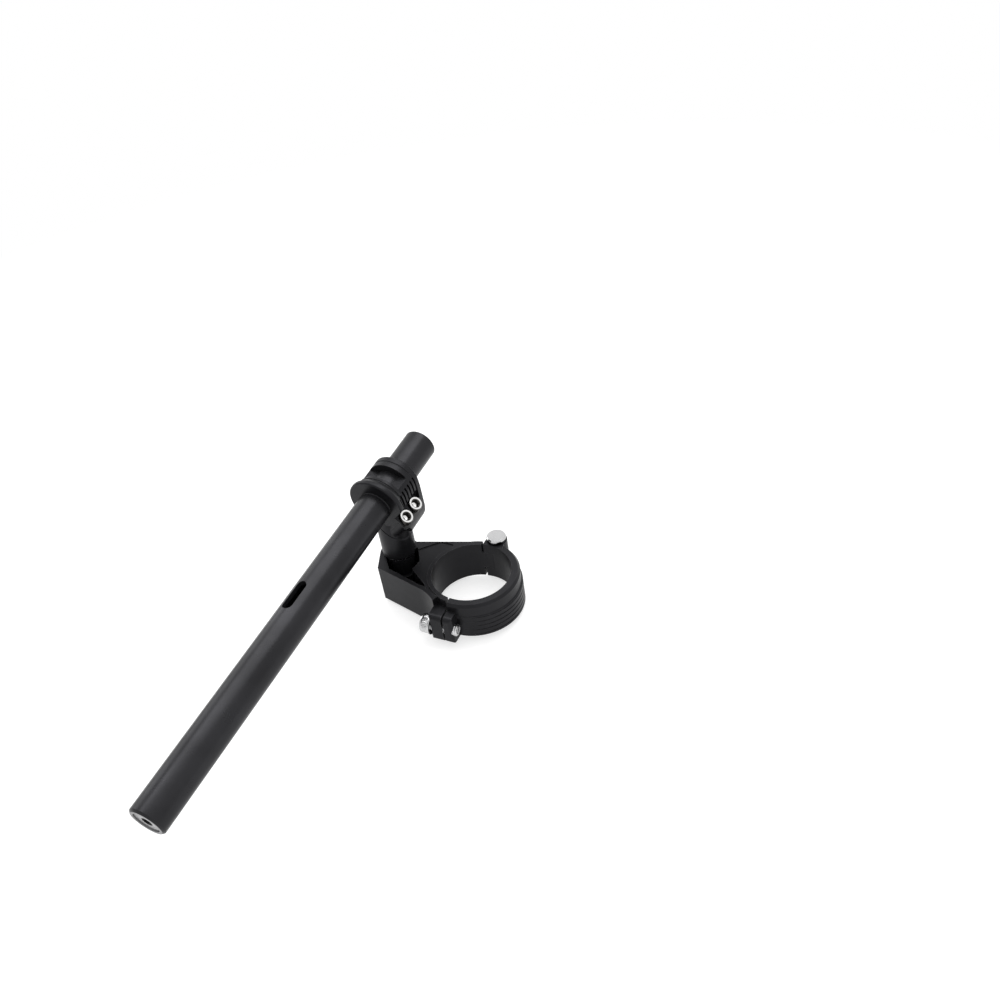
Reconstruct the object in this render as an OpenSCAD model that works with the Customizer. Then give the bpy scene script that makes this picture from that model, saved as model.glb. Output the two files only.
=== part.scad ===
// Clip on handlebar for the left fork leg: a two-piece fork clamp, an arm with a riser post
// that swivels, and a bar tube held in its own clamp. The origin is on the fork axis at mid
// height of the fork clamp, and +Z runs up the fork.

/* [Fork clamp] */
// Diameter of the fork tube, which is the bore of the clamp
fork_d = 53; // [52:0.5:54]
// Height of the fork clamp along the fork
clamp_h = 28; // [26:1:32]
// Wall of the cap's ring
ring_wall = 5.6; // [5.2:0.1:6]
// Saw gap between the bracket and the cap
split_gap = 1.4; // [1:0.2:3]
// Distance of the saw gap from the fork axis, towards the arm
split_offset = 4; // [3:0.5:5]
// Depth of the five grooves round the cap
cap_groove_depth = 1.3; // [0.6:0.1:1.4]

/* [Arm] */
// Distance from the fork axis to the post axis
arm_reach = 56; // [54:1:60]
// Thickness of the walls round the arm's pocket
arm_wall = 2.6; // [2:0.2:3.4]
// Thickness of the arm's floor
arm_floor = 3; // [2:0.5:4]
// Depth of the step round the bore
step_depth = 0.8; // [0.4:0.1:1.2]

/* [Riser post] */
// Diameter of the riser post
post_d = 22.8; // [21:0.2:24]
// Height of the bar above the middle of the fork clamp
bar_rise = 66; // [62:1:74]
// Diameter of the swivel bolt
swivel_d = 10; // [8:1:10]

/* [Bar] */
// Outer diameter of the bar tube
bar_d = 22.2; // [22:0.1:22.4]
// Wall of the bar tube
bar_wall = 3; // [2.5:0.5:4]
// Length of the bar outside the post, on the rider's side
bar_out = 245.5; // [220:0.5:260]
// Length of the stub on the other side of the post
bar_stub = 47; // [36:1:56]
// Drop of the bar below square to the fork, in degrees
bar_drop = 6.8; // [4:0.2:9]
// Length of the wire slot in the bar
slot_l = 21; // [14:1:26]
// Width of the wire slot in the bar
slot_w = 7; // [5:0.5:8]

/* [Bar clamp] */
// Wall of the bar clamp's barrel
barrel_wall = 5.3; // [4.5:0.1:6]
// Height that the lower flange stands over the barrel
flange_h = 2.9; // [1.5:0.1:3.5]
// Number of grooves beside the pinch screws
fin_count = 7; // [3:1:7]
// Distance between the two pinch screws
pinch_pitch = 12; // [11.4:0.2:13]

/* [Fasteners] */
// Diameter of the fork clamp screw
fork_screw_d = 8; // [6:1:8]
// Diameter of the pinch screws
pinch_d = 6; // [5:0.5:6]
// Diameter of the hinge pin's shank
hinge_d = 8; // [6:1:8]
// Diameter of the bar end's thread
end_thread_d = 6; // [5:1:8]

/* [Hidden] */
$fn = 96;

// Colours
BLACK = [0.10, 0.10, 0.11];
BLACK_TUBE = [0.16, 0.16, 0.17];
SILVER = [0.80, 0.80, 0.82];
STEEL = [0.55, 0.56, 0.58];

// Clearances
RUN = 0.06;          // radial clearance of a running fit
TAP = 0.05;          // radial clearance of a screw in its tapped hole
SEAT = 0.05;         // gap between two faces that are bolted together
TURN = 0.2;          // gap between two faces that turn on each other
CUT = 1;             // how far a cutting solid runs past a face

// Fork clamp, seen from above
fork_r = fork_d / 2;
ring_r = fork_r + ring_wall;
back_r = ring_r - 2.3;           // the bracket's half of the ring is thinner
z_top = clamp_h / 2;
z_bot = -clamp_h / 2;
split_az = 58.5;                 // direction of the saw cut
big = 400;                       // wider than the whole part
lip_h = 9;                       // smooth upper part of the cap
lip_step_r = fork_r + 2.8;       // outside of the raised lip round the bore
edge = 1;                        // chamfer on the ring's edges
band_shift = 1;                  // the grooved band's centre lies off the fork axis by this much
band_az = -12;                   // in this direction
groove_count = 5;

// Front lugs and their screw, in the saw cut's own frame (x across the cut, y along it)
screw_y = -(fork_r + fork_screw_d / 2 + 5.2);
screw_z = -4;
lug_z_top = 8;
lug_z_bot = z_bot + 0.4;                 // the lugs stand a little off the ring's lower face
lug_out = fork_screw_d / 2 + 0.6;        // material outside the screw
lug_left = -13.8;
lug_right = 2.5;
lug_inner = 12;                          // how far the lugs reach back into the ring
lug_edge_r = 3.4;                        // rounding of the outer edges along the screw
lug_corner_r = 2.4;                      // rounding of the upright outer corners
fork_head_d = 1.6 * fork_screw_d;
fork_head_h = 0.75 * fork_screw_d;
fork_screw_washer_h = 1.1;
fork_screw_end = 2;                      // the screw stands out of the cap's lug
dimple_r = 0.28 * fork_screw_d;          // hollow in the screw's end
dimple_h = 2;

// Hinge of the cap, in the same frame
hinge_x = 3.6;
hinge_y = fork_r + hinge_d / 2 + 3.3;
knuckle_r = hinge_d / 2 + 3.2;
tongue_h = 13;
ear_top = z_top + 0.3;            // the cap's ears stand a little proud of the ring's end faces
ear_bot = z_bot - 0.3;
ear_h = ear_top - ear_bot;
pin_head_d = 13.5;
pin_head_h = 3.4;
clip_h = 1;
clip_r = hinge_d / 2 + 1.6;
pin_groove = 0.7;                // depth of the pin's clip groove
pin_end = 1.2;                   // pin below its clip

// Arm, seen from above
arm_az = 143.3;
post_r = post_d / 2;
post_x = arm_reach * cos(arm_az);
post_y = arm_reach * sin(arm_az);
arm_end_r = post_r + 2.1;
corner = [post_x - 16, post_y - 13];           // outer front corner of the arm
heel = [post_x - 13.3, post_y + 2.5];            // where the left wall meets the round end
rear_end = [10, fork_r + 1.2];                   // rear wall at the saw cut
rear_mid = [post_x + 11.5, post_y + 6.5];        // rear wall beside the post
waist = [-fork_r - 9.5, -6];                     // front wall where its hollow to the lug starts
lug_root = [-fork_r - 1.2, -19.7];
hollow_r = 35;
hollow_at = [-fork_r - 34.5, -30.5];             // centre of that hollow
nose = [post_x + 6.7, post_y - 19.5];            // corner of the solid web by the bore
boss_low_r = 12;
boss_top_r = 9.6;
boss_step_z = 0;
bolt_seat_z = -1;
boss_top_z = z_top - 0.6;

// Swivel stack on the post axis
swivel_r = swivel_d / 2;
swivel_washer_h = 2;
riser_z0 = boss_top_z + swivel_washer_h + TURN;
swivel_in = 11;                  // thread of the swivel bolt inside the riser
bolt_washer_h = 1.6;
bolt_head_h = swivel_d;
bolt_head_d = 1.6 * swivel_d;
bolt_bore_r = boss_low_r - 2.6;

// Bar and its clamp. Along the bar, s counts from the post axis towards the bar's end.
bar_r = bar_d / 2;
bar_az = 235;
barrel_r = bar_r + barrel_wall;
s_back = -16.5;                  // barrel's end on the stub side
s_front = 13.4;                    // barrel's end on the rider's side
s_win0 = -7;                     // window in the top of the barrel
s_win1 = 3.6;
win_u = 8.8;                     // height of the window's sill over the bar axis
clamp_roll = 42;                 // turn of the lug and its seam about the bar
seam = 18;                       // distance from the bar axis to the mitre seam
lug_e = 30.8;                     // outer end of the lug
lug_s0 = -15;
lug_s1 = 12.2;
lug_mid = 0;                     // in front of this the lug narrows to the front screw's boss
shoulder = [9.5, barrel_r - 2.8];                // top of the lug's outer face
lug_flank = [27, -7.2];                          // a point low on that face
pinch_e = bar_r + pinch_d / 2 + 6;
pinch_mid = 1;
pinch_head_d = 10 / 6 * pinch_d;
pinch_seat = -3;
pinch_l = 20.5;
pinch_pocket_r = pinch_head_d / 2 + 0.4;
pinch_boss_r = pinch_pocket_r + 1;
gusset_m = -8;                   // the front of the gusset reaches down to here
land_m = pinch_seat + pinch_d - 1.5;             // flat land round the pinch heads
land_e = 14.6;
land_s = -10.6;
fin_gap = 1.5;
fin_pitch = 3.3;
fin_depth = 2.2;
fin_s0 = -11.65;
fin_start = -2.2;                // along the lug's outer face, from its shoulder
fin_end = 16;
seam_line_w = 0.9;               // fine groove round the joint of riser and clamp
seam_line_d = 0.6;
groove_w = 0.8;
groove_d = 0.5;

// Wire slot, bar end and end plug
end_chamfer = 1.2;
slot_s = 99.5;
slot_turn = 10;
plug_l = 20;
plug_face = 0.8;                 // the plug lies this far inside the bar's end
end_hole_l = 15;
mark_w = 1;                      // fine ring turned on the tube just outside the clamp
mark_d = 0.3;
mark_s = s_front + 0.3;

// Places and directions

module at_post() {
    translate([post_x, post_y, 0])
        children();
}

// Frame of the saw cut: +X square to the cut, away from the arm, and +Y along it to the rear
module at_split() {
    rotate([0, 0, split_az - 90])
        children();
}

// Frame of the bar: +Z along the bar to the rider's side, +Y up and +X to the fork's side
module at_bar() {
    translate([post_x, post_y, bar_rise])
        rotate([0, 90 + bar_drop, bar_az])
            rotate([0, 0, 90])
                children();
}

// Frame of the bar clamp's lug: the same, turned about the bar so that +Y is square to the seam
module at_lug() {
    at_bar()
        rotate([0, 0, -clamp_roll])
            children();
}

// General shapes

// A socket-head screw: its head stands on the origin's plane and its shank hangs below
module socket_screw(d, head_d, head_h, shank_l, hex) {
    difference() {
        union() {
            rotate_extrude()
                polygon([[0, 0], [head_d / 2, 0], [head_d / 2, head_h - 0.5],
                         [head_d / 2 - 0.5, head_h], [0, head_h]]);
            translate([0, 0, -shank_l])
                cylinder(d = d, h = shank_l + 0.01);
        }
        translate([0, 0, head_h * 0.45])
            cylinder(d = hex / cos(30), h = head_h, $fn = 6);
    }
}

// A flat washer that lies on the origin's plane
module washer(hole_r, outer_r, h) {
    difference() {
        cylinder(r = outer_r, h = h);
        translate([0, 0, -CUT])
            cylinder(r = hole_r, h = h + 2 * CUT);
    }
}

// Half space on one side of the saw cut: side is 1 for the cap and -1 for the bracket
module split_side(side) {
    at_split()
        translate([side > 0 ? -split_offset + split_gap / 2 : -split_offset - split_gap / 2 - big,
                   -big / 2, -big / 2])
            cube([big, big, big]);
}

module fork_hole() {
    translate([0, 0, z_bot - CUT])
        cylinder(r = fork_r, h = clamp_h + 2 * CUT, $fn = 128);
}

// One block that both front lugs are cut from, round at its outer edges and corners
module front_lugs() {
    mid_x = (lug_left + lug_right) / 2;
    mid_z = (lug_z_bot + lug_z_top) / 2;
    at_split()
        intersection() {
            translate([mid_x, screw_y, lug_z_bot])
                linear_extrude(lug_z_top - lug_z_bot)
                    lug_profile((lug_right - lug_left) / 2, lug_corner_r);
            translate([lug_left - CUT, screw_y, mid_z])
                rotate([0, 90, 0])
                    linear_extrude(lug_right - lug_left + 2 * CUT)
                        lug_profile((lug_z_top - lug_z_bot) / 2, lug_edge_r);
        }
}

// A rectangle of the given half width round the screw, with rounded corners on its outer side
module lug_profile(half, r) {
    union() {
        translate([-half, -lug_out + r])
            square([2 * half, lug_out + lug_inner]);
        translate([-half + r, -lug_out])
            square([2 * (half - r), lug_out + lug_inner]);
        for (side = [-1, 1])
            translate([side * (half - r), -lug_out + r])
                circle(r = r);
    }
}

// Drill for the front screw, through both lugs
module fork_screw_hole(r, x0, x1) {
    at_split()
        translate([x0, screw_y, screw_z])
            rotate([0, 90, 0])
                cylinder(r = r, h = x1 - x0);
}

// Bracket

module arm_outline() {
    union() {
        difference() {
            polygon([rear_end, rear_mid, [post_x, post_y], heel, corner, waist, lug_root,
                     [0, 0]]);
            translate(hollow_at)
                circle(r = hollow_r);
        }
        translate([post_x, post_y])
            circle(r = arm_end_r);
        circle(r = back_r);
    }
}

module pocket_outline() {
    w = arm_wall;
    difference() {
        union() {
            translate([post_x, post_y])
                circle(r = arm_end_r - w);
            polygon([[heel[0] + w, heel[1]], [corner[0] + w + 4.8, corner[1] - 3.2],
                     [corner[0] + w + 9.6, corner[1] - 8], [waist[0] + 1.6, waist[1] - 1.6 + 1.4 * w],
                     [waist[0] + 6, waist[1] - 3.5 + w], [waist[0] + 3.2, waist[1] + 6.5],
                     nose, [nose[0] + 5.7, nose[1] + 6.4], [nose[0] + 5.7, post_y]]);
        }
        circle(r = ring_r - 0.4);
    }
}

// The shallow step between the lip round the bore and the arm's rear wall
module step_outline() {
    difference() {
        polygon([[nose[0] + 4, post_y - 2], [-24.3, fork_r + 7.2], [-16.5, fork_r + 8.7],
                 [-9, fork_r + 4], [0, 0], lug_root + [3, 3], waist + [5.4, -3],
                 waist + [2.4, 6], nose - [1, 0], nose + [5, 6]]);
        circle(r = lip_step_r);
    }
}

module bracket_hinge_tongue() {
    at_split()
        translate([0, 0, -tongue_h / 2])
            linear_extrude(tongue_h)
                union() {
                    translate([hinge_x, hinge_y])
                        circle(r = knuckle_r);
                    polygon([[hinge_x, hinge_y - knuckle_r], [hinge_x, hinge_y + knuckle_r],
                             [-split_offset - 6, fork_r + 1.3], [-split_offset - 6, fork_r - 3]]);
                }
}

module clamp_bracket() {
    color(BLACK)
        difference() {
            union() {
                intersection() {
                    union() {
                        difference() {
                            translate([0, 0, z_bot])
                                linear_extrude(clamp_h)
                                    arm_outline();
                            translate([0, 0, z_bot + arm_floor])
                                linear_extrude(clamp_h)
                                    pocket_outline();
                            translate([0, 0, z_top - step_depth])
                                linear_extrude(clamp_h)
                                    step_outline();
                        }
                        front_lugs();
                    }
                    split_side(-1);
                }
                at_post() {
                    translate([0, 0, z_bot])
                        cylinder(r = boss_low_r, h = boss_step_z - z_bot);
                    translate([0, 0, z_bot])
                        cylinder(r = boss_top_r, h = boss_top_z - z_bot);
                }
                bracket_hinge_tongue();
            }
            fork_hole();
            at_post() {
                translate([0, 0, z_bot - CUT])
                    cylinder(r = bolt_bore_r, h = bolt_seat_z - z_bot + CUT);
                cylinder(r = swivel_r + RUN, h = clamp_h, center = true);
            }
            at_split()
                translate([hinge_x, hinge_y, -clamp_h])
                    cylinder(r = hinge_d / 2 + RUN, h = 2 * clamp_h);
            fork_screw_hole(fork_screw_d / 2 + 0.3, lug_left - CUT, 0);
            fork_screw_hole(fork_head_d / 2 + 0.7, lug_left - 20, lug_left);
        }
}

// Cap

// The cap's smooth upper lip, with its inner and outer edges broken
module cap_lip() {
    rotate_extrude($fn = 128)
        polygon([[fork_r - 2, z_top - lip_h - 1], [fork_r + 3, z_top - lip_h - 1],
                 [fork_r + 3, z_top - lip_h], [ring_r, z_top - lip_h], [ring_r, z_top - 2],
                 [ring_r - 1.4, z_top], [fork_r - 2, z_top]]);
}

// The grooved band under the lip. It is a little off centre, so its grooves fade out to the lug.
module cap_band() {
    band_r = ring_r - 0.1;
    band_top = z_top - lip_h;
    pitch = (band_top - z_bot - edge) / groove_count;
    difference() {
        rotate([0, 0, band_az])
            translate([band_shift, 0, 0])
                rotate_extrude($fn = 128)
                    polygon([[fork_r - 4, z_bot], [band_r - edge, z_bot], [band_r, z_bot + edge],
                             [band_r, band_top - edge], [band_r - edge, band_top],
                             [fork_r - 4, band_top]]);
        for (i = [0 : groove_count - 1])
            translate([0, 0, z_bot + edge + (i + 0.5) * pitch])
                rotate_extrude($fn = 128)
                    polygon([[band_r + band_shift - cap_groove_depth, 0],
                             [band_r + band_shift + 2, -0.45 * pitch],
                             [band_r + band_shift + 2, 0.45 * pitch]]);
    }
}

module cap_hinge_ears() {
    at_split()
        translate([0, 0, ear_bot])
            linear_extrude(ear_h)
                union() {
                    translate([hinge_x, hinge_y])
                        circle(r = knuckle_r);
                    polygon([[hinge_x - knuckle_r, hinge_y], [hinge_x - knuckle_r, fork_r - 2],
                             [hinge_x + knuckle_r + 2, fork_r - 8],
                             [hinge_x + knuckle_r - 1.5, hinge_y + 1]]);
                }
}

// Room for the bracket's tongue between the cap's two ears
module tongue_room() {
    room = tongue_h + 2 * TURN;
    at_split()
        translate([0, 0, -room / 2])
            linear_extrude(room)
                union() {
                    translate([hinge_x, hinge_y])
                        circle(r = knuckle_r + 0.3);
                    translate([hinge_x - knuckle_r - 6, fork_r - 6])
                        square([knuckle_r + 6, hinge_y + 2 * knuckle_r - fork_r]);
                }
}

module ring_cap() {
    color(BLACK)
        difference() {
            intersection() {
                union() {
                    cap_lip();
                    cap_band();
                    front_lugs();
                    cap_hinge_ears();
                }
                split_side(1);
            }
            fork_hole();
            tongue_room();
            at_split()
                translate([hinge_x, hinge_y, -clamp_h])
                    cylinder(r = hinge_d / 2 + RUN, h = 2 * clamp_h);
            fork_screw_hole(fork_screw_d / 2 + TAP, -split_offset, lug_right + CUT);
        }
}

// Fork clamp fasteners

module fork_screw() {
    seat_x = lug_left - fork_screw_washer_h;
    shank = lug_right + fork_screw_end - seat_x;
    color(SILVER)
        at_split()
            translate([seat_x, screw_y, screw_z])
                rotate([0, -90, 0])
                    difference() {
                        socket_screw(fork_screw_d, fork_head_d, fork_head_h, shank,
                                     0.75 * fork_screw_d);
                        translate([0, 0, -shank - CUT])
                            cylinder(r = dimple_r, h = dimple_h + CUT);
                    }
}

module fork_screw_washer() {
    color(SILVER)
        at_split()
            translate([lug_left, screw_y, screw_z])
                rotate([0, -90, 0])
                    washer(fork_screw_d / 2 + 0.3, fork_head_d / 2 + 0.4, fork_screw_washer_h);
}

module hinge_pin() {
    shank = ear_h + clip_h + pin_end + SEAT;
    color(SILVER)
        at_split()
            translate([hinge_x, hinge_y, ear_top])
                difference() {
                    union() {
                        rotate_extrude()
                            polygon([[0, 0], [pin_head_d / 2 - 0.3, 0], [pin_head_d / 2, 0.3],
                                     [pin_head_d / 2, pin_head_h - 0.8],
                                     [pin_head_d / 2 - 0.8, pin_head_h], [0, pin_head_h]]);
                        translate([0, 0, -shank])
                            cylinder(d = hinge_d, h = shank + 0.01);
                    }
                    translate([0, 0, -ear_h - clip_h - SEAT])
                        washer(hinge_d / 2 - pin_groove, hinge_d, clip_h + SEAT);
                }
}

// Snap ring under the lower ear: a flat ring with an open side
module hinge_clip() {
    color(STEEL)
        at_split()
            translate([hinge_x, hinge_y, ear_bot - clip_h])
                difference() {
                    washer(hinge_d / 2 - pin_groove + TAP, clip_r, clip_h - SEAT);
                    translate([0, -hinge_d * 0.35, -CUT])
                        cube([2 * hinge_d, hinge_d * 0.7, clip_h + 2 * CUT]);
                }
}

// Riser post and swivel

// Half space above the mitre seam
module above_seam(gap) {
    at_lug()
        translate([-big / 2, -seam - gap, -big / 2])
            cube([big, big, big]);
}

// Cutter for the fine groove round the mitre seam, half in the riser and half in the clamp
module seam_line() {
    difference() {
        at_lug()
            translate([-big / 2, -seam - seam_line_w / 2, -big / 2])
                cube([big, seam_line_w, big]);
        at_post()
            cylinder(r = post_r - seam_line_d, h = bar_rise);
    }
}

module pinch_holes(r, y0, l) {
    for (side = [-1, 1])
        at_lug()
            translate([pinch_e, y0, pinch_mid + side * pinch_pitch / 2])
                rotate([90, 0, 0])
                    cylinder(r = r, h = l);
}

module riser_post() {
    color(BLACK)
        difference() {
            at_post()
                rotate_extrude()
                    polygon([[0, riser_z0], [post_r - 0.6, riser_z0], [post_r, riser_z0 + 0.6],
                             [post_r, bar_rise], [0, bar_rise]]);
            above_seam(SEAT);
            seam_line();
            at_post()
                translate([0, 0, riser_z0 - CUT])
                    cylinder(r = swivel_r + TAP, h = swivel_in + CUT + 0.5);
            pinch_holes(pinch_d / 2 + TAP, pinch_seat, pinch_l + 0.5);
        }
}

module swivel_washer() {
    color(STEEL)
        at_post()
            translate([0, 0, boss_top_z])
                washer(swivel_r + 0.3, boss_top_r, swivel_washer_h);
}

module swivel_bolt() {
    seat_z = bolt_seat_z - bolt_washer_h - TURN;
    color(STEEL)
        at_post()
            translate([0, 0, seat_z])
                rotate([180, 0, 0])
                    socket_screw(swivel_d, bolt_head_d, bolt_head_h,
                                 riser_z0 + swivel_in - seat_z, 0.8 * swivel_d);
}

module bolt_washer() {
    color(STEEL)
        at_post()
            translate([0, 0, bolt_seat_z - bolt_washer_h])
                washer(swivel_r + 0.3, bolt_bore_r - 0.3, bolt_washer_h);
}

// Bar clamp

// The barrel's outline along the bar: chamfered back collar, waist, grooves and front flange
module barrel() {
    flange_r = barrel_r + flange_h;
    rotate_extrude($fn = 128)
        polygon([[0, s_back], [barrel_r - 1.8, s_back], [barrel_r, s_back + 1.6],
                 [barrel_r, -11.6], [barrel_r - groove_d, -11.6 + groove_d],
                 [barrel_r - groove_d, -11.6 + groove_w], [barrel_r, -11.6 + groove_w + groove_d],
                 [barrel_r, s_win1 + 1], [barrel_r + 0.4, s_win1 + 1],
                 [barrel_r + 0.7, 6], [barrel_r + 0.7 - groove_d, 6 + groove_d],
                 [barrel_r + 0.7 - groove_d, 6 + groove_w],
                 [barrel_r + 0.8, 6 + groove_w + groove_d],
                 [flange_r - 0.3, s_front - 3.4], [flange_r, s_front - 2.6],
                 [flange_r, s_front - 0.8], [flange_r - 0.8, s_front], [0, s_front]]);
}

// Outline of the lug and its gusset, seen along the bar
module lug_outline() {
    polygon([[0, 0], [4, barrel_r - 0.7], shoulder, [15, 7.8], [22.2, -1.2], lug_flank,
             [lug_e - 1.1, -11.75], [lug_e, -16.1], [lug_e, -seam], [-1, -seam],
             [-0.62 * barrel_r, -0.76 * barrel_r]]);
}

// Plan of the lug, seen square to its seam: the wide rear part, and the front screw's boss
module lug_plan() {
    front = pinch_mid + pinch_pitch / 2;
    union() {
        translate([-barrel_r, lug_s0])
            square([lug_e + CUT + barrel_r, lug_mid - lug_s0]);
        polygon([[pinch_e - pinch_boss_r, lug_mid - CUT], [lug_e + CUT, lug_mid - CUT],
                 [lug_e + CUT, lug_mid], [pinch_e + pinch_boss_r, front],
                 [pinch_e - pinch_boss_r, front]]);
        translate([pinch_e, front])
            circle(r = pinch_boss_r);
    }
}

module lug() {
    intersection() {
        translate([0, 0, lug_s0 - CUT])
            linear_extrude(s_front - lug_s0 + CUT)
                lug_outline();
        union() {
            translate([0, 2 * barrel_r, 0])
                rotate([90, 0, 0])
                    linear_extrude(2 * barrel_r + seam + CUT)
                        lug_plan();
            translate([-barrel_r, gusset_m, lug_mid - CUT])
                cube([barrel_r + land_e, 2 * barrel_r, lug_s1 - lug_mid + CUT]);
        }
    }
}

// Grooves that leave thin fins on the lug's outer face, from the barrel to the pinch screws
module fin_grooves() {
    slope = atan2(shoulder[1] - lug_flank[1], lug_flank[0] - shoulder[0]);
    for (i = [0 : fin_count - 1])
        translate([shoulder[0], shoulder[1], fin_s0 + i * fin_pitch])
            rotate([0, 0, -slope])
                translate([fin_start, -fin_depth, 0])
                    cube([fin_end - fin_start, fin_depth + 6, fin_gap]);
}

// The flat land round the pinch heads, and the pockets that they sit in
module pinch_pockets() {
    translate([land_e, land_m, land_s])
        cube([2 * barrel_r, barrel_r, s_front - land_s + CUT]);
    for (side = [-1, 1])
        translate([pinch_e, pinch_seat, pinch_mid + side * pinch_pitch / 2])
            rotate([-90, 0, 0])
                cylinder(r = pinch_pocket_r, h = 2 * barrel_r);
}

// The barrel above the seam, and the riser's round shape that runs on up into it
module barrel_and_neck() {
    intersection() {
        above_seam(0);
        union() {
            at_bar()
                barrel();
            at_post()
                translate([0, 0, riser_z0])
                    cylinder(r = post_r, h = bar_rise - riser_z0);
        }
    }
}

module bar_clamp() {
    color(BLACK)
        difference() {
            union() {
                barrel_and_neck();
                at_lug()
                    lug();
            }
            seam_line();
            at_lug() {
                fin_grooves();
                pinch_pockets();
            }
            at_bar() {
                translate([0, 0, s_back - CUT])
                    cylinder(r = bar_r + RUN, h = s_front - s_back + 2 * CUT, $fn = 128);
                translate([-2 * barrel_r, win_u, s_win0])
                    cube([4 * barrel_r, 2 * barrel_r, s_win1 - s_win0]);
            }
            pinch_holes(pinch_d / 2 + 0.25, pinch_seat + CUT, seam + CUT);
        }
}

module pinch_screw(side) {
    color(SILVER)
        at_lug()
            translate([pinch_e, pinch_seat, pinch_mid + side * pinch_pitch / 2])
                rotate([-90, 0, 0])
                    socket_screw(pinch_d, pinch_head_d, pinch_d, pinch_l, 0.8 * pinch_d);
}

module pinch_screw_a() {
    pinch_screw(-1);
}

module pinch_screw_b() {
    pinch_screw(1);
}

// Bar tube

// Cutter for the wire slot: a round-ended slot through the upper wall
module wire_slot() {
    run = (slot_l - slot_w) / 2;
    rotate([0, 0, slot_turn])
        translate([0, 0, slot_s])
            rotate([-90, 0, 0])
                union() {
                    for (side = [-1, 1])
                        translate([0, side * run, 0])
                            cylinder(d = slot_w, h = 2 * bar_r);
                    translate([-slot_w / 2, -run, 0])
                        cube([slot_w, 2 * run, 2 * bar_r]);
                }
}

module bar_tube() {
    bore = bar_r - bar_wall;
    color(BLACK_TUBE)
        at_bar()
            difference() {
                rotate_extrude($fn = 128)
                    polygon([[bore, -bar_stub], [bar_r - 0.6, -bar_stub], [bar_r, -bar_stub + 0.6],
                             [bar_r, mark_s], [bar_r - mark_d, mark_s],
                             [bar_r - mark_d, mark_s + mark_w], [bar_r, mark_s + mark_w],
                             [bar_r, bar_out - end_chamfer], [bar_r - end_chamfer, bar_out],
                             [bore, bar_out]]);
                wire_slot();
            }
}

module end_plug() {
    plug_r = bar_r - bar_wall - TAP / 2;
    top = bar_out - plug_face;
    color(SILVER)
        at_bar()
            difference() {
                translate([0, 0, top - plug_l])
                    cylinder(r = plug_r, h = plug_l);
                translate([0, 0, top - end_hole_l])
                    cylinder(d = end_thread_d, h = end_hole_l + CUT);
            }
}

clamp_bracket();
ring_cap();
fork_screw();
fork_screw_washer();
hinge_pin();
hinge_clip();
riser_post();
swivel_washer();
swivel_bolt();
bolt_washer();
bar_clamp();
pinch_screw_a();
pinch_screw_b();
bar_tube();
end_plug();
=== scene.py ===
import math

import bmesh
import bpy
from mathutils import Matrix, Vector


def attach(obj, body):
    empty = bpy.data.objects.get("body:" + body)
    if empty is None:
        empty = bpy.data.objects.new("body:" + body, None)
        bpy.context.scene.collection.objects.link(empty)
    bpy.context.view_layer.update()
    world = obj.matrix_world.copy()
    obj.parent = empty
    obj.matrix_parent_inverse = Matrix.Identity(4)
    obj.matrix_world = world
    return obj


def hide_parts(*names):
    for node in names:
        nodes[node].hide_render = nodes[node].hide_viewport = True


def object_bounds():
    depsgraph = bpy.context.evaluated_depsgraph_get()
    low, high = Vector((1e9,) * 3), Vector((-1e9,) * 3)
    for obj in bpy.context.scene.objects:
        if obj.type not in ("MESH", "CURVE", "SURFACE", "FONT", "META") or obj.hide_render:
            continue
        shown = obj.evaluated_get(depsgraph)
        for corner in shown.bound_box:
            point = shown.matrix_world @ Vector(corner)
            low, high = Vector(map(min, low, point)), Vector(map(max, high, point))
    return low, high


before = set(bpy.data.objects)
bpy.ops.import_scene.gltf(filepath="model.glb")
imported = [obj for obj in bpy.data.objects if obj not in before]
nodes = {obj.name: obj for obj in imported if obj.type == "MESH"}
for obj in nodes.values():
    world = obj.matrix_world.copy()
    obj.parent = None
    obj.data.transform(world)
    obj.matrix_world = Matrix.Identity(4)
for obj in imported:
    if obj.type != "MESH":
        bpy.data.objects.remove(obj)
box_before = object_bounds()

# Places and directions shared with the solids, in metres
POST = Vector((-0.0448994, 0.0334670, 0.0))
BAR_AXIS = Vector((-0.5695416, -0.8133897, -0.1184040))
BAR_SIDE = Vector((0.8191520, -0.5735764, 0.0))
BAR_UP = Vector((-0.0679137, -0.0969909, 0.9929655))
BAR_RISE = 0.066
BAR_AT = POST + Vector((0, 0, BAR_RISE))
BAR_OUT = 0.2455
SPLIT_TURN = math.radians(58.5 - 90)
LUG_TURN = math.radians(-42)
UP = Vector((0.0, 0.0, 1.0))

SPLIT_X = Vector((math.cos(SPLIT_TURN), math.sin(SPLIT_TURN), 0.0))
SPLIT_Y = Vector((-math.sin(SPLIT_TURN), math.cos(SPLIT_TURN), 0.0))
LUG_E = BAR_SIDE * math.cos(LUG_TURN) + BAR_UP * math.sin(LUG_TURN)
LUG_M = BAR_UP * math.cos(LUG_TURN) - BAR_SIDE * math.sin(LUG_TURN)


def in_split(x, y, z):
    """A point of the saw cut's frame, given in millimetres."""
    return (SPLIT_X * x + SPLIT_Y * y + UP * z) / 1000.0


def in_lug(e, m, s):
    """A point of the bar clamp's lug frame, given in millimetres."""
    return BAR_AT + (LUG_E * e + LUG_M * m + BAR_AXIS * s) / 1000.0


# Seats of the fasteners. The two pinch screws lie PINCH_OFF each side of PINCH_MID, in mm.
PINCH_E = 20.1
PINCH_M = -3.0
PINCH_MID = 1.0
PINCH_OFF = 6.0
FORK_SEAT = in_split(-14.9, -35.7, -4.0)
SWIVEL_SEAT = POST + Vector((0, 0, -0.0028))
PIN_SEAT = in_split(3.6, 33.8, 14.3)

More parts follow.
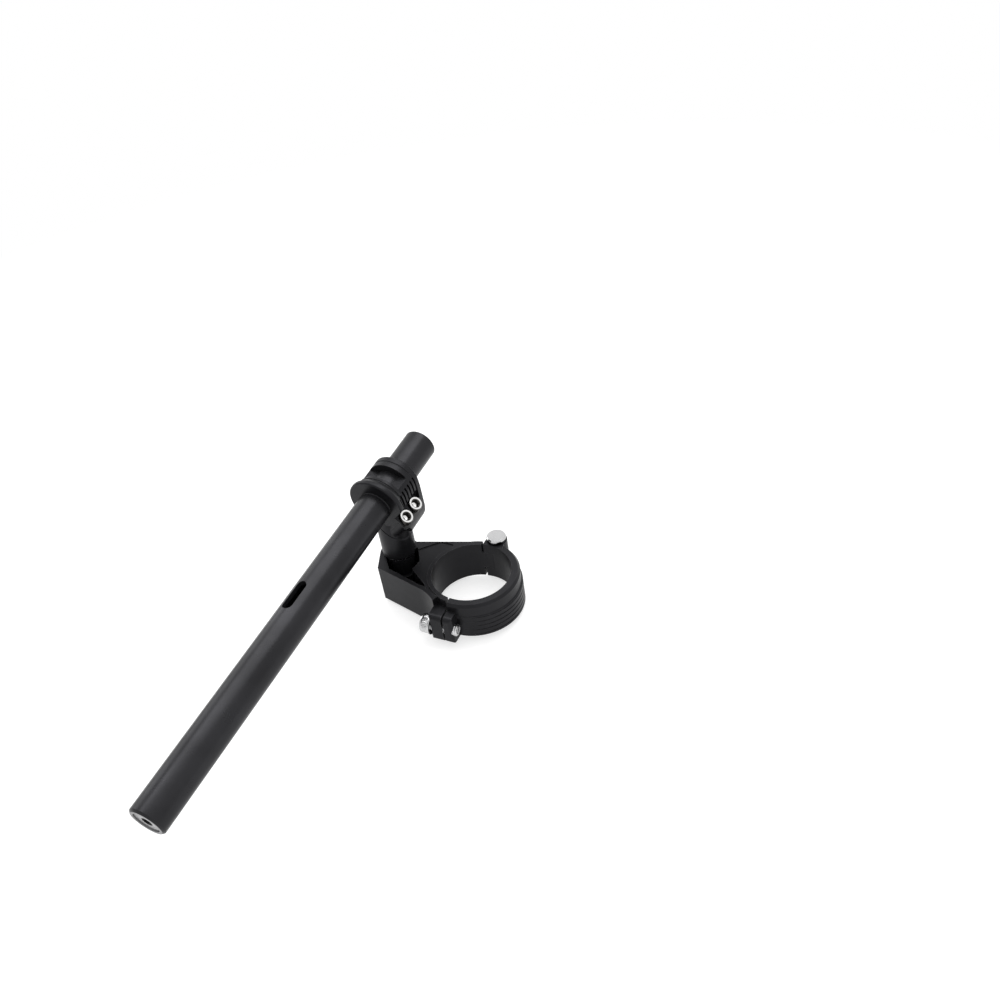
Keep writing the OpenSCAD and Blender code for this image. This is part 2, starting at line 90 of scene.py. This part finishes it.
# Socket screws: flat is the socket's width, and plain the length of shank without a thread
PINCH_SIZE = dict(d=0.006, head_d=0.010, head_h=0.006, length=0.0205, flat=0.0050,
                  pitch=0.001, plain=0.006)
FORK_SIZE = dict(d=0.008, head_d=0.0128, head_h=0.006, length=0.0194, flat=0.006,
                 pitch=0.00125, plain=0.004)
SWIVEL_SIZE = dict(d=0.010, head_d=0.016, head_h=0.010, length=0.0294, flat=0.008,
                   pitch=0.0015, plain=0.014)
FORK_DIMPLE = (0.00224, 0.002)    # radius and depth of the hollow in the front screw's end
KNURLS = 40
RINGS_PER_TURN = 6

# End plug
PLUG_RADIUS = 0.0081 - 0.000025
PLUG_TOP = BAR_OUT - 0.0008
PLUG_LENGTH = 0.020
PLUG_CHAMFER = 0.0003
PLUG_POINTS = 96
HOLE_RADIUS = 0.0030
HOLE_DEPTH = 0.015
HOLE_PITCH = 0.001
HOLE_THREAD = 0.0005

# Finishes: scales are in waves a metre, and lengths in metres
SPECULAR_LEVEL = 0.2
CLOUD_SCALE = 38.0        # broad changes of tone
SPOT_SCALE = 95.0         # changes of roughness
PATCH_SCALE = 260.0       # where an edge is lightened, as rubbed wear and painted edge highlight, and where it isn't
GRAIN_SCALE = 3200.0
RELIEF = 0.00004          # height of the finest bumps
ROUGH_LESS = 0.035
ROUGH_MORE = 0.045
EDGE_SAMPLES = 4
EDGE_LOW = 0.015
EDGE_HIGH = 0.18
BAND_BLUR = 0.03          # half the fade at a band's ends, as a share of its length
SIDE_BLUR = 0.01          # half the fade round its side, as a share of its radius


def rgba(red, green, blue):
    return (red, green, blue, 1.0)


WHITE = rgba(1, 1, 1)
BLACK_DARK = rgba(0.016, 0.016, 0.0178)
BLACK_LIGHT = rgba(0.022, 0.022, 0.0243)
# Edge colours of the black parts: painted edge highlight along with rubbed wear; the bracket's
# is lighter
BLACK_EDGE_WEAR_AND_HIGHLIGHT = rgba(0.11, 0.11, 0.115)
BRACKET_EDGE_WEAR_AND_HIGHLIGHT = rgba(0.17, 0.17, 0.175)
TUBE_DARK = rgba(0.023, 0.023, 0.025)
TUBE_LIGHT = rgba(0.031, 0.031, 0.034)
TUBE_END = rgba(0.25, 0.25, 0.255)
BRIGHT_DARK = rgba(0.50, 0.50, 0.505)
BRIGHT_LIGHT = rgba(0.60, 0.60, 0.605)
BRIGHT_WEAR = rgba(0.85, 0.85, 0.85)
HEAD_DARK = rgba(0.78, 0.78, 0.77)
HEAD_LIGHT = rgba(0.88, 0.88, 0.87)
STEEL_DARK = rgba(0.42, 0.425, 0.435)
STEEL_LIGHT = rgba(0.54, 0.545, 0.555)
STEEL_WEAR = rgba(0.66, 0.66, 0.67)
PLUG_DARK = rgba(0.26, 0.26, 0.265)
PLUG_LIGHT = rgba(0.33, 0.33, 0.335)
PLUG_WEAR = rgba(0.45, 0.45, 0.45)
SOCKET_SHADE_DARK = rgba(0.045, 0.043, 0.040)
SOCKET_SHADE_LIGHT = rgba(0.10, 0.096, 0.090)
SOCKET_SHADE_EDGE = rgba(0.35, 0.34, 0.33)
HOLE_SHADE_DARK = rgba(0.010, 0.010, 0.010)
HOLE_SHADE_LIGHT = rgba(0.020, 0.020, 0.020)
HOLE_SHADE_EDGE = rgba(0.05, 0.05, 0.05)

# Stage
FLOOR_GAP = 0.0002
FLOOR_SIZE = 8.0
FLOOR_TONE = rgba(0.5, 0.5, 0.5)      # takes the shadow near the object
FLOOR_GLOW = 0.65
FLOOR_DIM = rgba(0.55, 0.55, 0.55)    # what diffuse light meets
FLOOR_NEAR = 0.45
FLOOR_FAR = 0.9
ROOM_STRENGTH = 0.8
AIM = Vector((-0.06, 0.0, 0.02))


# Node trees

def empty_tree(owner):
    """The node tree of a material or world, with nothing in it."""
    owner.use_nodes = True
    owner.node_tree.nodes.clear()
    return owner.node_tree


class Net:
    """Short calls for building a node tree."""

    def __init__(self, tree):
        self.tree = tree

    def add(self, kind, **values):
        node = self.tree.nodes.new(kind)
        for key, value in values.items():
            setattr(node, key, value)
        return node

    def link(self, out, into):
        self.tree.links.new(out, into)

    def math(self, kind, a, b=None):
        node = self.add("ShaderNodeMath", operation=kind)
        for socket, value in zip(node.inputs, (a, b)):
            if value is None:
                continue
            if isinstance(value, (int, float)):
                socket.default_value = value
            else:
                self.link(value, socket)
        return node.outputs[0]

    def spread(self, value, low, high, to_low, to_high):
        """Maps low..high to to_low..to_high, clamped."""
        node = self.add("ShaderNodeMapRange", clamp=True)
        self.link(value, node.inputs["Value"])
        for name, number in (("From Min", low), ("From Max", high),
                             ("To Min", to_low), ("To Max", to_high)):
            node.inputs[name].default_value = number
        return node.outputs["Result"]

    def noise(self, vector, scale, detail, rough=0.5):
        node = self.add("ShaderNodeTexNoise")
        self.link(vector, node.inputs["Vector"])
        node.inputs["Scale"].default_value = scale
        node.inputs["Detail"].default_value = detail
        node.inputs["Roughness"].default_value = rough
        return node.outputs["Fac"]

    def mix(self, factor, a, b):
        node = self.add("ShaderNodeMix", data_type="RGBA")
        self.link(factor, node.inputs["Factor"])
        for name, value in (("A", a), ("B", b)):
            socket = [s for s in node.inputs if s.name == name and s.type == "RGBA"][0]
            if isinstance(value, tuple):
                socket.default_value = value
            else:
                self.link(value, socket)
        return [s for s in node.outputs if s.type == "RGBA"][0]

    def mix_shaders(self, factor, a, b):
        node = self.add("ShaderNodeMixShader")
        for socket, value in zip(node.inputs, (factor, a, b)):
            self.link(value, socket)
        return node.outputs[0]

    def vector_math(self, kind, a, b):
        """A vector operation of a linked vector and a fixed one."""
        node = self.add("ShaderNodeVectorMath", operation=kind)
        self.link(a, node.inputs[0])
        node.inputs[1].default_value = b
        return node.outputs

    def length(self, vector):
        node = self.add("ShaderNodeVectorMath", operation="LENGTH")
        self.link(vector, node.inputs[0])
        return node.outputs["Value"]

    def in_frame(self, vector, rows):
        """The same point seen in another frame, whose axes are the rows."""
        node = self.add("ShaderNodeSeparateXYZ")
        self.link(vector, node.inputs[0])
        out = []
        for row in rows:
            a = self.math("MULTIPLY", node.outputs[0], row[0])
            b = self.math("MULTIPLY", node.outputs[1], row[1])
            c = self.math("MULTIPLY", node.outputs[2], row[2])
            out.append(self.math("ADD", self.math("ADD", a, b), c))
        join = self.add("ShaderNodeCombineXYZ")
        for socket, value in zip(join.inputs, out):
            self.link(value, socket)
        return join.outputs[0]

    def stretched(self, vector, scale):
        node = self.add("ShaderNodeMapping")
        self.link(vector, node.inputs["Vector"])
        node.inputs["Scale"].default_value = scale
        return node.outputs["Vector"]


def edge_mask(net, radius):
    """1 on convex and concave edges, 0 on open faces."""
    bevel = net.add("ShaderNodeBevel", samples=EDGE_SAMPLES)
    bevel.inputs["Radius"].default_value = radius
    geometry = net.add("ShaderNodeNewGeometry")
    dot = net.add("ShaderNodeVectorMath", operation="DOT_PRODUCT")
    net.link(bevel.outputs["Normal"], dot.inputs[0])
    net.link(geometry.outputs["Normal"], dot.inputs[1])
    away = net.math("SUBTRACT", 1.0, dot.outputs["Value"])
    return net.spread(away, EDGE_LOW, EDGE_HIGH, 0.0, 1.0)


def axis_distance(net, place, centre, axis):
    """How far a point lies from an axis through the centre."""
    offset = net.vector_math("SUBTRACT", place, centre)[0]
    return net.length(net.vector_math("CROSS_PRODUCT", offset, axis)[0])


def along(net, place, centre, axis):
    """How far along an axis from the centre a point lies."""
    offset = net.vector_math("SUBTRACT", place, centre)[0]
    return net.vector_math("DOT_PRODUCT", offset, axis)["Value"]


def ridges(net, value, pitch):
    """Uneven tool marks: one-dimensional noise over a length, about a pitch apart."""
    node = net.add("ShaderNodeTexNoise", noise_dimensions="1D")
    net.link(net.math("MULTIPLY", value, 1.0 / pitch), node.inputs["W"])
    node.inputs["Scale"].default_value = 1.0
    node.inputs["Detail"].default_value = 2.0
    return node.outputs["Fac"]


def bump_on(net, height, strength, below=None):
    node = net.add("ShaderNodeBump")
    node.inputs["Strength"].default_value = strength
    node.inputs["Distance"].default_value = RELIEF
    net.link(height, node.inputs["Height"])
    if below is not None:
        net.link(below, node.inputs["Normal"])
    return node.outputs["Normal"]


# Materials

def turned_about(centre, axis, pitch, strength):
    """Tool marks round an axis, as metal() takes them."""
    return (tuple(centre), tuple(axis), pitch, strength)


def drawn_in(rows, scale, strength):
    """Fine lines that run one way in a frame, as metal() takes them."""
    return (rows, scale, strength)


def banded(start, axis, length, radius, colour):
    """Another colour from the start along the axis and out to a radius, for metal()."""
    return (tuple(start), tuple(axis), length, radius, colour)


def metal(name, dark, light, rough, grain, wear, wear_amount, edge=0.0003, tint=None,
          metallic=1.0, turned=None, drawn=None, band=None):
    """A finished metal: tone and roughness vary, the grain is bumped, and the edges are
    lightened as rubbed wear and painted edge highlight.

    turned, drawn and band come from turned_about(), drawn_in() and banded().
    """
    material = bpy.data.materials.new(name)
    net = Net(empty_tree(material))
    out = net.add("ShaderNodeOutputMaterial")
    bsdf = net.add("ShaderNodeBsdfPrincipled")
    net.link(bsdf.outputs[0], out.inputs["Surface"])
    bsdf.inputs["Metallic"].default_value = metallic
    bsdf.inputs["Specular IOR Level"].default_value = SPECULAR_LEVEL
    if tint is not None:
        bsdf.inputs["Specular Tint"].default_value = (tint, tint, tint, 1.0)
    place = net.add("ShaderNodeTexCoord").outputs["Object"]

    cloud = net.noise(place, CLOUD_SCALE, 4.0)
    tone = net.mix(net.spread(cloud, 0.35, 0.65, 0.0, 1.0), dark, light)
    patch = net.noise(place, PATCH_SCALE, 5.0, 0.65)
    # Edges are lightened: partly rubbed wear, partly painted edge highlight
    wear_and_highlight_mask = net.math("MULTIPLY", edge_mask(net, edge),
                    net.spread(patch, 0.44, 0.62, 0.15, wear_amount))
    colour = net.mix(wear_and_highlight_mask, tone, wear)
    if band is not None:
        start, axis, length, radius, other = band
        off_middle = net.math("ABSOLUTE", net.math(
            "SUBTRACT", along(net, place, start, axis), length / 2))
        past_end = net.spread(off_middle, (0.5 - BAND_BLUR) * length,
                              (0.5 + BAND_BLUR) * length, 0.0, 1.0)
        past_side = net.spread(axis_distance(net, place, start, axis),
                               (1 - SIDE_BLUR) * radius, (1 + SIDE_BLUR) * radius, 0.0, 1.0)
        colour = net.mix(net.math("MAXIMUM", past_end, past_side), other, colour)
    net.link(colour, bsdf.inputs["Base Color"])

    spots = net.noise(place, SPOT_SCALE, 4.0, 0.6)
    net.link(net.spread(spots, 0.3, 0.7, rough - ROUGH_LESS, rough + ROUGH_MORE),
             bsdf.inputs["Roughness"])

    normal = bump_on(net, net.noise(place, GRAIN_SCALE, 2.0), grain)
    if drawn is not None:
        rows, scale, strength = drawn
        lines = net.noise(net.stretched(net.in_frame(place, rows), scale), 1.0, 3.0, 0.6)
        normal = bump_on(net, lines, strength, normal)
    if turned is not None:
        centre, axis, pitch, strength = turned
        path = net.math("ADD", axis_distance(net, place, centre, axis),
                        along(net, place, centre, axis))
        normal = bump_on(net, ridges(net, path, pitch), strength, normal)
    net.link(normal, bsdf.inputs["Normal"])
    return material


def black(name, **more):
    values = dict(dark=BLACK_DARK, light=BLACK_LIGHT, rough=0.34, tint=0.7, grain=0.5,
                  wear=BLACK_EDGE_WEAR_AND_HIGHLIGHT, wear_amount=0.55, metallic=0.55)
    values.update(more)
    return metal(name, **values)


def bright(name, **more):
    values = dict(dark=BRIGHT_DARK, light=BRIGHT_LIGHT, rough=0.20, grain=0.12,
                  wear=BRIGHT_WEAR, wear_amount=0.6, edge=0.00015)
    values.update(more)
    return metal(name, **values)


def steel(name, **more):
    values = dict(dark=STEEL_DARK, light=STEEL_LIGHT, rough=0.30, grain=0.25,
                  wear=STEEL_WEAR, wear_amount=0.5, edge=0.00015)
    values.update(more)
    return metal(name, **values)


# Painted shade for the walls of the screws' hexagon sockets and the flanks of the pinch heads
socket_painted_shade = metal("socket_painted_shade", SOCKET_SHADE_DARK, SOCKET_SHADE_LIGHT, rough=0.38, grain=0.3,
                    wear=SOCKET_SHADE_EDGE, wear_amount=0.4, edge=0.00012)
# Painted shade for the inside of the end plug's tapped hole
hole_painted_shade = metal("hole_painted_shade", HOLE_SHADE_DARK, HOLE_SHADE_LIGHT, rough=0.45, grain=0.3,
                  wear=HOLE_SHADE_EDGE, wear_amount=0.3, edge=0.00012)
# The bracket gets a lighter, wider painted edge highlight along with rubbed wear
black_bracket = black("black_bracket", wear=BRACKET_EDGE_WEAR_AND_HIGHLIGHT, wear_amount=0.8, edge=0.0004)
black_cap = black("black_cap",
                  turned=turned_about((0, 0, 0), UP, pitch=0.00022, strength=0.30))
black_riser = black("black_riser", turned=turned_about(POST, UP, pitch=0.00025, strength=0.25))
black_clamp = black("black_clamp", edge=0.00025,
                    turned=turned_about(BAR_AT, BAR_AXIS, pitch=0.00022, strength=0.22))
# The tube's end face and the mouth of its bore are bare; the chamfer round them isn't
black_tube = black("black_tube", rough=0.29, grain=0.20, wear_amount=0.45,
                   dark=TUBE_DARK, light=TUBE_LIGHT,
                   drawn=drawn_in((tuple(BAR_SIDE), tuple(BAR_UP), tuple(BAR_AXIS)),
                                  scale=(1500.0, 1500.0, 22.0), strength=0.35),
                   band=banded(BAR_AT + (BAR_OUT - 0.0011) * BAR_AXIS, BAR_AXIS,
                               length=0.003, radius=0.0098, colour=TUBE_END))
turned_plug = metal("turned_plug", PLUG_DARK, PLUG_LIGHT, rough=0.30, grain=0.15,
                    wear=PLUG_WEAR, wear_amount=0.4, edge=0.00015,
                    turned=turned_about(BAR_AT, BAR_AXIS, pitch=0.00016, strength=0.5))


# Lathe-made pieces

def frame_matrix(origin, axis, turn=0.0):
    """A frame at the origin whose +Z is the axis."""
    matrix = axis.normalized().to_track_quat("Z", "Y").to_matrix().to_4x4()
    matrix = matrix @ Matrix.Rotation(turn, 4, "Z")
    matrix.translation = origin
    return matrix


def rings_to_piece(name, rings, matrix, material, body, replaced, shade_material, shaded_bands):
    """Skins a list of rings of equal length, closes both ends and places the mesh.

    The faces of the bands numbered in the last argument get the second material, which paints
    shade there.
    """
    mesh = bpy.data.meshes.new(name)
    build = bmesh.new()
    count = len(rings[0])
    rows = [[build.verts.new(matrix @ Vector(point)) for point in ring] for ring in rings]
    for i, (low, high) in enumerate(zip(rows, rows[1:])):
        for k in range(count):
            n = (k + 1) % count
            face = build.faces.new((low[k], low[n], high[n], high[k]))
            face.material_index = 1 if i in shaded_bands else 0
    build.faces.new(list(reversed(rows[0])))
    build.faces.new(rows[-1])
    bmesh.ops.recalc_face_normals(build, faces=build.faces)
    build.to_mesh(mesh)
    build.free()
    for face in mesh.polygons:
        face.use_smooth = True
    mesh.materials.append(material)
    mesh.materials.append(shade_material)
    piece = bpy.data.objects.new(name, mesh)
    bpy.context.scene.collection.objects.link(piece)
    mesh.set_sharp_from_angle(angle=math.radians(28))
    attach(piece, body)
    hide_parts(replaced)
    return piece


def ring_of(radius_at, z, count):
    """One ring of points; radius_at gives the radius at an angle."""
    points = []
    for k in range(count):
        angle = 2 * math.pi * k / count
        r = radius_at(angle)
        points.append((r * math.cos(angle), r * math.sin(angle), z))
    return points


def round_rings(profile, count):
    """A round ring for each pair of radius and height."""
    return [ring_of(lambda angle: radius, z, count) for radius, z in profile]


def hexagon(flat, share=1.0):
    """Radius of a hexagon of the given width across its flats at an angle, times a share."""
    def radius_at(angle):
        local = (angle + math.pi / 6) % (math.pi / 3) - math.pi / 6
        return share * (0.5 * flat / math.cos(local))
    return radius_at


def thread_rings(pitch, z_from, z_to, count, radius_at):
    """Rings of a helical thread between two heights.

    radius_at takes the thread's wave, from 0 to 1, and its fade, which is 0 at both ends.
    """
    rings = []
    total = max(2, int(round(abs(z_to - z_from) / pitch * RINGS_PER_TURN)))
    for i in range(total + 1):
        z = z_from + (z_to - z_from) * i / total
        fade = min(1.0, i / RINGS_PER_TURN, (total - i) / RINGS_PER_TURN)

        def radius(angle):
            phase = (z / pitch - angle / (2 * math.pi)) % 1.0
            wave = min(1.0, max(0.0, 2.6 * abs(phase - 0.5) - 0.15))
            return radius_at(wave, fade)

        rings.append(ring_of(radius, z, count))
    return rings


def socket_screw(name, replaced, body, origin, axis, size, material, dimple=None,
                 turn=0.0, flank_in_shade=False):
    """A socket-head screw in place of its CAD node: knurled head, hexagon socket, thread. The
    socket's walls, and the head's flank if asked, get painted shade.
    """
    count = 2 * KNURLS
    shank_r, head_r = size["d"] / 2, size["head_d"] / 2
    head_h, length, flat, plain = size["head_h"], size["length"], size["flat"], size["plain"]
    thread = 0.61 * size["pitch"]
    ripple = 0.012 * size["head_d"]
    valley_r = head_r - ripple

    def knurled(angle):
        return head_r - ripple * (0.5 + 0.5 * math.cos(angle * KNURLS))

    if dimple is None:
        end = [(0.2 * shank_r, -length)]
    else:
        dimple_r, dimple_h = dimple
        end = [(0.25 * dimple_r, -length + dimple_h),
               (0.92 * dimple_r, -length + 0.8 * dimple_h),
               (dimple_r, -length + 0.7 * dimple_h),
               (dimple_r, -length + 0.00015),
               (dimple_r + 0.00015, -length)]
    end += [(shank_r - thread, -length), (shank_r - 0.25 * thread, -length + 0.75 * thread)]
    rings = round_rings(end, count)
    rings += thread_rings(size["pitch"], -length + 0.8 * thread, -plain, count,
                          lambda wave, fade: shank_r - thread * (1 - wave) * fade)
    rings += round_rings([(shank_r, -0.5 * plain), (shank_r, 0.0), (head_r - 0.0004, 0.0)],
                         count)

    # The head's flank, from the foot up to the chamfer
    flank = len(rings)
    rings += round_rings([(valley_r, 0.00025)], count)
    heights = [0.0005, 0.0007] + [0.0007 + (head_h - 0.0018) * k / 3 for k in (1, 2, 3)]
    rings += [ring_of(knurled, z, count) for z in heights]
    rings += round_rings([(valley_r, head_h - 0.0008), (valley_r - 0.0001, head_h - 0.00045),
                          (head_r - 0.00045, head_h - 0.0001)], count)
    # The flank can be given painted shade, for the shadow of the pocket it sits in
    shaded_flank_bands = range(flank, len(rings)) if flank_in_shade else ()

    # The top face with its round mouth, then the socket down to its drilled bottom
    mouth_r = 0.5 * flat / math.cos(math.pi / 6) + 0.0003
    floor_h = 0.45 * head_h
    rings += round_rings([(head_r - 0.0007, head_h)], count)
    mouth = len(rings)
    rings += round_rings([(mouth_r, head_h)], count)
    rings.append(ring_of(hexagon(flat), head_h - 0.0004, count))
    rings.append(ring_of(hexagon(flat), floor_h + 0.0001, count))
    rings.append(ring_of(hexagon(flat, 0.97), floor_h, count))
    rings += round_rings([(0.36 * flat, floor_h)], count)
    # Painted shade on the socket from its mouth down to the floor's edge, and on a shaded
    # flank; the drilled bottom keeps the screw's colour
    shaded_bands = set(shaded_flank_bands) | set(range(mouth, len(rings) - 1))
    rings += round_rings([(0.06 * flat, 0.36 * head_h)], count)
    return rings_to_piece(name, rings, frame_matrix(origin, axis, turn), material, body,
                          replaced, socket_painted_shade, shaded_bands)


def end_plug_piece():
    """The bar's end plug, with its tapped hole, whose inside gets painted shade."""
    bottom = PLUG_TOP - PLUG_LENGTH
    hole_bottom = PLUG_TOP - HOLE_DEPTH
    rings = round_rings([(0.001, bottom),
                         (PLUG_RADIUS - PLUG_CHAMFER, bottom),
                         (PLUG_RADIUS, bottom + PLUG_CHAMFER),
                         (PLUG_RADIUS, PLUG_TOP - PLUG_CHAMFER),
                         (PLUG_RADIUS - PLUG_CHAMFER, PLUG_TOP),
                         (HOLE_RADIUS + 0.0004, PLUG_TOP),
                         (HOLE_RADIUS, PLUG_TOP - 0.0004)], PLUG_POINTS)
    hole = len(rings) - 2
    rings += thread_rings(HOLE_PITCH, PLUG_TOP - 0.0005, hole_bottom + 0.0005, PLUG_POINTS,
                          lambda wave, fade: HOLE_RADIUS - HOLE_THREAD * wave)
    rings += round_rings([(HOLE_RADIUS - HOLE_THREAD, hole_bottom), (0.0004, hole_bottom)],
                         PLUG_POINTS)
    return rings_to_piece("bar_end_plug", rings, frame_matrix(BAR_AT, BAR_AXIS), turned_plug,
                          "bar", "end_plug", hole_painted_shade,
                          range(hole, len(rings)))


# The pinch heads' flanks are given painted shade, for the shadow of their pockets
for side, letter in ((-1, "a"), (1, "b")):
    seat = in_lug(PINCH_E, PINCH_M, PINCH_MID + side * PINCH_OFF)
    socket_screw("pinch_bolt_" + letter, "pinch_screw_" + letter, "swivel",
                 seat, LUG_M, PINCH_SIZE,
                 bright("bright_pinch_" + letter, dark=HEAD_DARK, light=HEAD_LIGHT,
                        turned=turned_about(seat, LUG_M, pitch=0.00016, strength=0.25)),
                 turn=0.35 + 0.5 * side, flank_in_shade=True)

socket_screw("fork_bolt", "fork_screw", "bracket", FORK_SEAT, -SPLIT_X,
             FORK_SIZE,
             bright("bright_fork",
                    turned=turned_about(FORK_SEAT, SPLIT_X, pitch=0.00018, strength=0.25)),
             dimple=FORK_DIMPLE, turn=0.2)

socket_screw("swivel_screw", "swivel_bolt", "swivel", SWIVEL_SEAT, -UP,
             SWIVEL_SIZE,
             steel("steel_swivel",
                   turned=turned_about(SWIVEL_SEAT, UP, pitch=0.0002, strength=0.3)),
             turn=0.1)

end_plug_piece()


# CAD nodes

def finish_node(name, material, bevel):
    """Joins the mesh's split edges, rounds its sharp edges a little and gives it a material."""
    piece = nodes[name]
    piece.data.materials.clear()
    piece.data.materials.append(material)
    weld = piece.modifiers.new("weld", "WELD")
    weld.merge_threshold = 1e-6
    soften = piece.modifiers.new("soften", "BEVEL")
    soften.width = bevel
    soften.segments = 2
    soften.limit_method = "ANGLE"
    soften.angle_limit = math.radians(32)
    soften.harden_normals = False
    soften.miter_outer = "MITER_ARC"
    for face in piece.data.polygons:
        face.use_smooth = True
    normals = piece.modifiers.new("normals", "WEIGHTED_NORMAL")
    normals.keep_sharp = True
    normals.weight = 80
    normals.mode = "FACE_AREA_WITH_ANGLE"


bright_washer = bright("bright_washer",
                       turned=turned_about(FORK_SEAT, SPLIT_X, pitch=0.00016, strength=0.3))
# The lowest 2 mm of the pin's head is coloured with the black parts' dark tone
bright_pin = bright("bright_pin",
                    turned=turned_about(PIN_SEAT, UP, pitch=0.00016, strength=0.35),
                    band=banded(PIN_SEAT, UP, length=0.0020, radius=0.01, colour=BLACK_DARK))
steel_marks = turned_about(POST, UP, pitch=0.0002, strength=0.3)

for name, material, bevel in (
        ("clamp_bracket", black_bracket, 0.0004),
        ("ring_cap", black_cap, 0.00022),
        ("riser_post", black_riser, 0.0003),
        ("bar_clamp", black_clamp, 0.00018),
        ("bar_tube", black_tube, 0.0002),
        ("fork_screw_washer", bright_washer, 0.00015),
        ("hinge_pin", bright_pin, 0.0003),
        ("hinge_clip", steel("steel_clip"), 0.0001),
        ("swivel_washer", steel("steel_washer", turned=steel_marks), 0.0002),
        ("bolt_washer", steel("steel_bolt_washer", turned=steel_marks), 0.0002)):
    finish_node(name, material, bevel)


# Stage

def background_ray(net):
    """1 for the rays that show the background: to the camera, in metal and through glass."""
    path = net.add("ShaderNodeLightPath")
    seen = net.math("MAXIMUM", path.outputs["Is Camera Ray"], path.outputs["Is Glossy Ray"])
    return net.math("MAXIMUM", seen, path.outputs["Is Transmission Ray"])


def floor_material():
    """White with the object's shadow on it, and a plain grey to diffuse light."""
    material = bpy.data.materials.new("pale_floor")
    net = Net(empty_tree(material))
    out = net.add("ShaderNodeOutputMaterial")
    plain = net.add("ShaderNodeBsdfDiffuse")
    plain.inputs["Color"].default_value = FLOOR_TONE
    glow = net.add("ShaderNodeEmission")
    glow.inputs["Color"].default_value = WHITE
    glow.inputs["Strength"].default_value = FLOOR_GLOW
    near = net.add("ShaderNodeAddShader")
    net.link(plain.outputs[0], near.inputs[0])
    net.link(glow.outputs[0], near.inputs[1])
    white = net.add("ShaderNodeEmission")
    white.inputs["Color"].default_value = WHITE
    dim = net.add("ShaderNodeBsdfDiffuse")
    dim.inputs["Color"].default_value = FLOOR_DIM
    place = net.add("ShaderNodeTexCoord").outputs["Object"]
    far = net.spread(net.length(place), FLOOR_NEAR, FLOOR_FAR, 0.0, 1.0)
    shown = net.mix_shaders(far, near.outputs[0], white.outputs[0])
    chosen = net.mix_shaders(background_ray(net), dim.outputs[0], shown)
    net.link(chosen, out.inputs["Surface"])
    return material


def softbox(name, direction, distance, width, height, radiance):
    """A rectangular panel that faces the object and shows the given radiance."""
    data = bpy.data.lights.new(name, "AREA")
    data.shape = "RECTANGLE"
    data.size = width
    data.size_y = height
    data.energy = radiance * math.pi * width * height
    light = bpy.data.objects.new(name, data)
    bpy.context.scene.collection.objects.link(light)
    away = Vector(direction).normalized()
    light.location = AIM + away * distance
    light.rotation_euler = (-away).to_track_quat("-Z", "Y").to_euler()


def studio_world():
    """White where it is seen, and a little dimmer as a light."""
    world = bpy.data.worlds.new("studio")
    net = Net(empty_tree(world))
    out = net.add("ShaderNodeOutputWorld")
    seen = net.add("ShaderNodeBackground")
    seen.inputs["Color"].default_value = WHITE
    seen.inputs["Strength"].default_value = 1.0
    room = net.add("ShaderNodeBackground")
    room.inputs["Color"].default_value = WHITE
    room.inputs["Strength"].default_value = ROOM_STRENGTH
    chosen = net.mix_shaders(background_ray(net), room.outputs[0], seen.outputs[0])
    net.link(chosen, out.inputs["Surface"])
    return world


bpy.ops.mesh.primitive_plane_add(size=FLOOR_SIZE,
                                 location=(0, 0, box_before[0][2] - FLOOR_GAP))
floor = bpy.context.object
floor.name = "floor"
floor.data.materials.append(floor_material())

softbox("overhead", (0.06, 0.30, 0.95), distance=1.2, width=1.4, height=0.75, radiance=3.2)
softbox("left", (-0.55, 0.66, 0.38), distance=1.3, width=0.8, height=0.7, radiance=1.9)
softbox("far_right", (0.54, 0.53, 0.65), distance=1.3, width=0.35, height=0.35, radiance=5.0)

bpy.context.scene.world = studio_world()


# Camera, fitted to the photograph

CAMERA_AT = Vector((0.0, -0.4954024, 0.4667842))
CAMERA_ROWS = ((0.982995, 0.179181, -0.040186),
               (-0.143144, 0.610606, -0.778890),
               (-0.115025, 0.771398, 0.625871))

camera_data = bpy.data.cameras.new("camera")
camera_data.sensor_width = 36.0
camera_data.lens = 36.8369
camera_data.clip_start = 0.01
camera_data.clip_end = 20.0
camera = bpy.data.objects.new("camera", camera_data)
bpy.context.scene.collection.objects.link(camera)
camera_matrix = Matrix(CAMERA_ROWS).to_4x4()
camera_matrix.translation = CAMERA_AT
camera.matrix_world = camera_matrix
bpy.context.scene.camera = camera
bpy.context.scene.view_settings.view_transform = "Standard"
